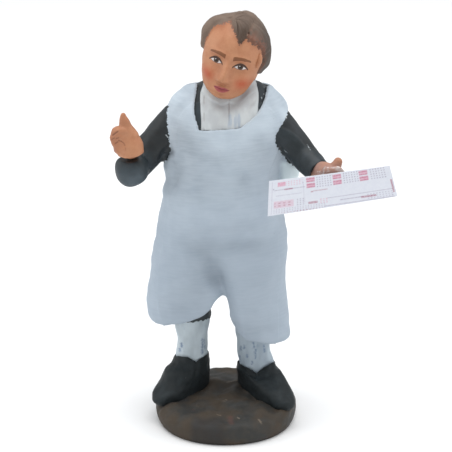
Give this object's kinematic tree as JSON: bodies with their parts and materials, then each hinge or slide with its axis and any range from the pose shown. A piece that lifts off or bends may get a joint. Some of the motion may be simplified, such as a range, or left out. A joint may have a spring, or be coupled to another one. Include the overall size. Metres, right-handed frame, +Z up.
{
  "type": "terracotta doctor figurine",
  "caption": "Small hand-painted terracotta figure of a stout man in a long sleeveless smock over a dark jacket, on a round base, a slip of paper glued to his hand.",
  "frame": {"origin": "middle of the base's flat underside", "axes": "+Z up along the standing figure, the figure faces -Y, its left hand is towards +X"},
  "size_m": [0.0455, 0.0234, 0.0699],
  "materials": {
    "smock_paint": "matt pale blue-grey paint, brushed on clay",
    "skin_paint": "matt terracotta flesh paint with painted features",
    "hair_paint": "matt grey-brown paint on combed clay",
    "shirt_paint": "matt greyish white paint with brush marks",
    "jacket_paint": "satin near-black paint with light scuffs",
    "stocking_paint": "matt off-white paint with bluish specks",
    "shoe_paint": "satin dark charcoal paint",
    "base_paint": "matt dark brown paint on rough clay",
    "printed_paper": null,
    "glue": "clear dried glue, shiny"
  },
  "bodies": {
    "root": {"clay_figure": "smock_paint", "paper_slip": "printed_paper"}
  },
  "joints": []
}
